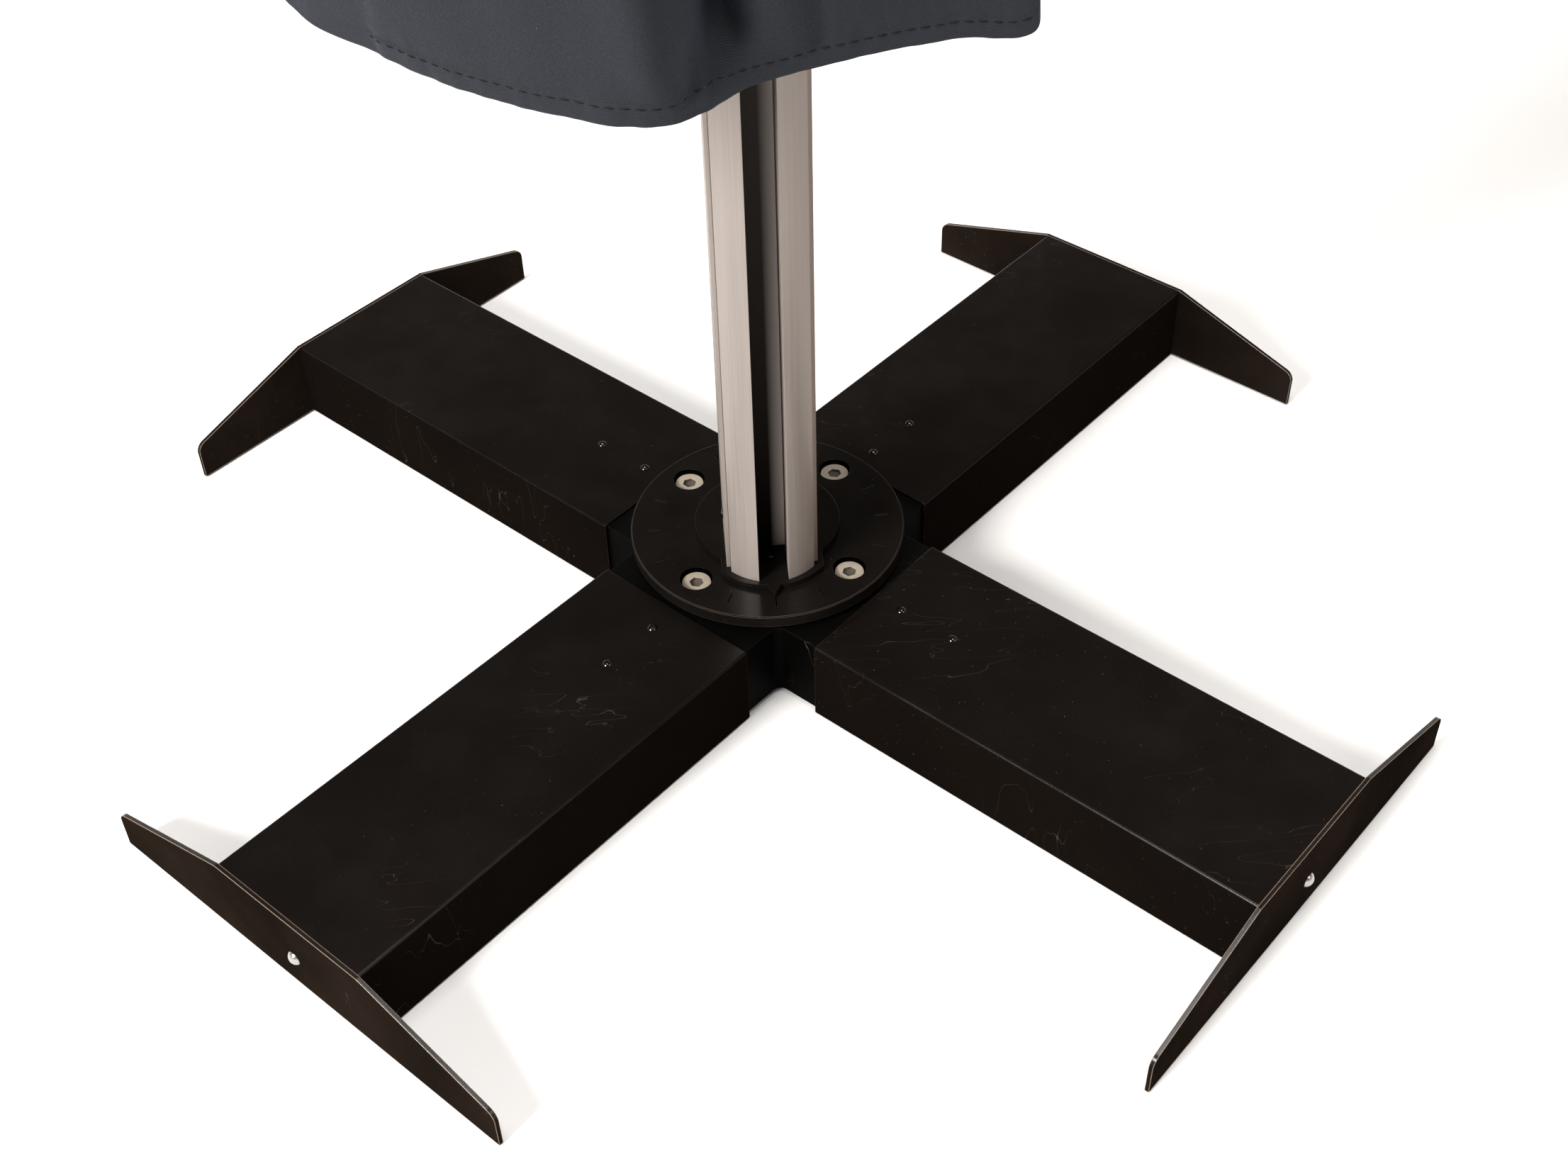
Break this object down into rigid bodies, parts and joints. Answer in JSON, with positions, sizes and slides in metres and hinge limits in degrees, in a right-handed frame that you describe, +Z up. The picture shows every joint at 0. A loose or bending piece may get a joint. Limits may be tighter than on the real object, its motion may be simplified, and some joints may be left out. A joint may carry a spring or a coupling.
{
  "type": "four way clothing rack",
  "caption": "Free-standing clothing rack: cross base with winged end plates, graduated dial, turning slotted mast, rising post, hang arms set crosswise and a cloth dust sheet.",
  "frame": {"origin": "on the floor under the mast's turning axis, at the middle of the cross base", "axes": "+Z up along the turning axis; the mast's slot and the pointer face -Y at rest; the legs and arms lie on the diagonals between X and Y"},
  "size_m": [1.1936, 1.1936, 1.386],
  "materials": {
    "leg_powder_coat": "gloss to satin black powder coat on folded steel",
    "plate_powder_coat": "gloss black powder coat on laser-cut steel plate",
    "frame_powder_coat": "satin black powder coat on welded steel",
    "foot_rubber": "matt black rubber",
    "rail_aluminium": "satin warm grey powder coat on thin steel tube",
    "black_plastic": "fine-textured black moulded nylon",
    "dial_gloss_black": "gloss black coat over a machined steel disc, engraved marks",
    "nickel_bolt": "nickel-plated bolt heads, slightly warm",
    "black_screw": "black-oxide steel",
    "zinc_bolt": "bright zinc-plated steel",
    "bearing_polymer": "natural acetal, turned or moulded",
    "turned_steel": "turned steel shaft",
    "mast_aluminium": "satin warm grey finish on extruded aluminium",
    "cast_plug": "rough die-cast aluminium",
    "head_satin_black": "satin black powder coat on die-cast alloy",
    "post_satin_grey": "satin warm grey powder coat on square steel tube",
    "sheet_cloth": "black-navy woven polyester with a fine rib, single stitched hem"
  },
  "bodies": {
    "base": {"leg_cover_front_right": "leg_powder_coat", "end_plate_front_right": "plate_powder_coat", "end_bracket_front_right": "frame_powder_coat", "inner_pad_front_right": "foot_rubber", "outer_pad_front_right": "foot_rubber", "leg_cover_back_right": "leg_powder_coat", "end_plate_back_right": "plate_powder_coat", "end_bracket_back_right": "frame_powder_coat", "inner_pad_back_right": "foot_rubber", "outer_pad_back_right": "foot_rubber", "leg_cover_back_left": "leg_powder_coat", "end_plate_back_left": "plate_powder_coat", "end_bracket_back_left": "frame_powder_coat", "inner_pad_back_left": "foot_rubber", "outer_pad_back_left": "foot_rubber", "leg_cover_front_left": "leg_powder_coat", "end_plate_front_left": "plate_powder_coat", "end_bracket_front_left": "frame_powder_coat", "inner_pad_front_left": "foot_rubber", "outer_pad_front_left": "foot_rubber", "centre_frame": "frame_powder_coat", "hub_plate": "frame_powder_coat", "bearing_housing": "frame_powder_coat", "dial_plate": "dial_gloss_black", "dial_bolts": "nickel_bolt", "leg_cover_screws": "black_screw", "end_plate_bolts": "zinc_bolt", "end_plate_nuts": "zinc_bolt", "slide_washer": "bearing_polymer", "upper_bush": "bearing_polymer", "lower_bush": "bearing_polymer"},
    "mast": {"turn_collar": "dial_gloss_black", "mast_foot_screws": "black_screw", "spindle_nut": "zinc_bolt", "retaining_washer": "zinc_bolt", "foot_bolt": "zinc_bolt", "upper_guide": "bearing_polymer", "spindle": "turned_steel", "mast_front": "mast_aluminium", "mast_rear": "mast_aluminium", "mast_foot_plug": "cast_plug", "mast_head": "head_satin_black"},
    "post": {"arm_front_right": "rail_aluminium", "arm_stop_front_right": "black_plastic", "arm_back_right": "rail_aluminium", "arm_stop_back_right": "black_plastic", "arm_back_left": "rail_aluminium", "arm_stop_back_left": "black_plastic", "arm_front_left": "rail_aluminium", "arm_stop_front_left": "black_plastic", "arm_bolts": "black_screw", "lower_guide": "bearing_polymer", "stop_collar": "head_satin_black", "arm_hub": "head_satin_black", "inner_post": "post_satin_grey", "hub_cap": "black_plastic", "dust_sheet": "sheet_cloth"},
    "clamp_knob": {"clamp_screw": "zinc_bolt", "clamp_knob": "black_plastic"},
    "clamp_shoe": {"clamp_shoe": "bearing_polymer"}
  },
  "joints": [
    {"name": "mast_turn", "type": "hinge", "parent": "base", "child": "mast", "pos_m": [0, 0, 0.1], "axis": [0, 0, 1], "continuous": true},
    {"name": "post_height", "type": "slide", "parent": "mast", "child": "post", "axis": [0, 0, 1], "range_m": [0, 0.3]},
    {"name": "clamp_knob_turn", "type": "hinge", "parent": "mast", "child": "clamp_knob", "pos_m": [0, 0.07, 0.955], "axis": [0, 1, 0], "range_deg": [0, 360]},
    {"name": "clamp_shoe_slide", "type": "slide", "parent": "mast", "child": "clamp_shoe", "axis": [0, 1, 0], "range_m": [0, 0.00151]}
  ],
  "couplings": [
    {"joint": "clamp_shoe_slide", "follows": "clamp_knob_turn", "m_per_rad": 0.00023873}
  ]
}
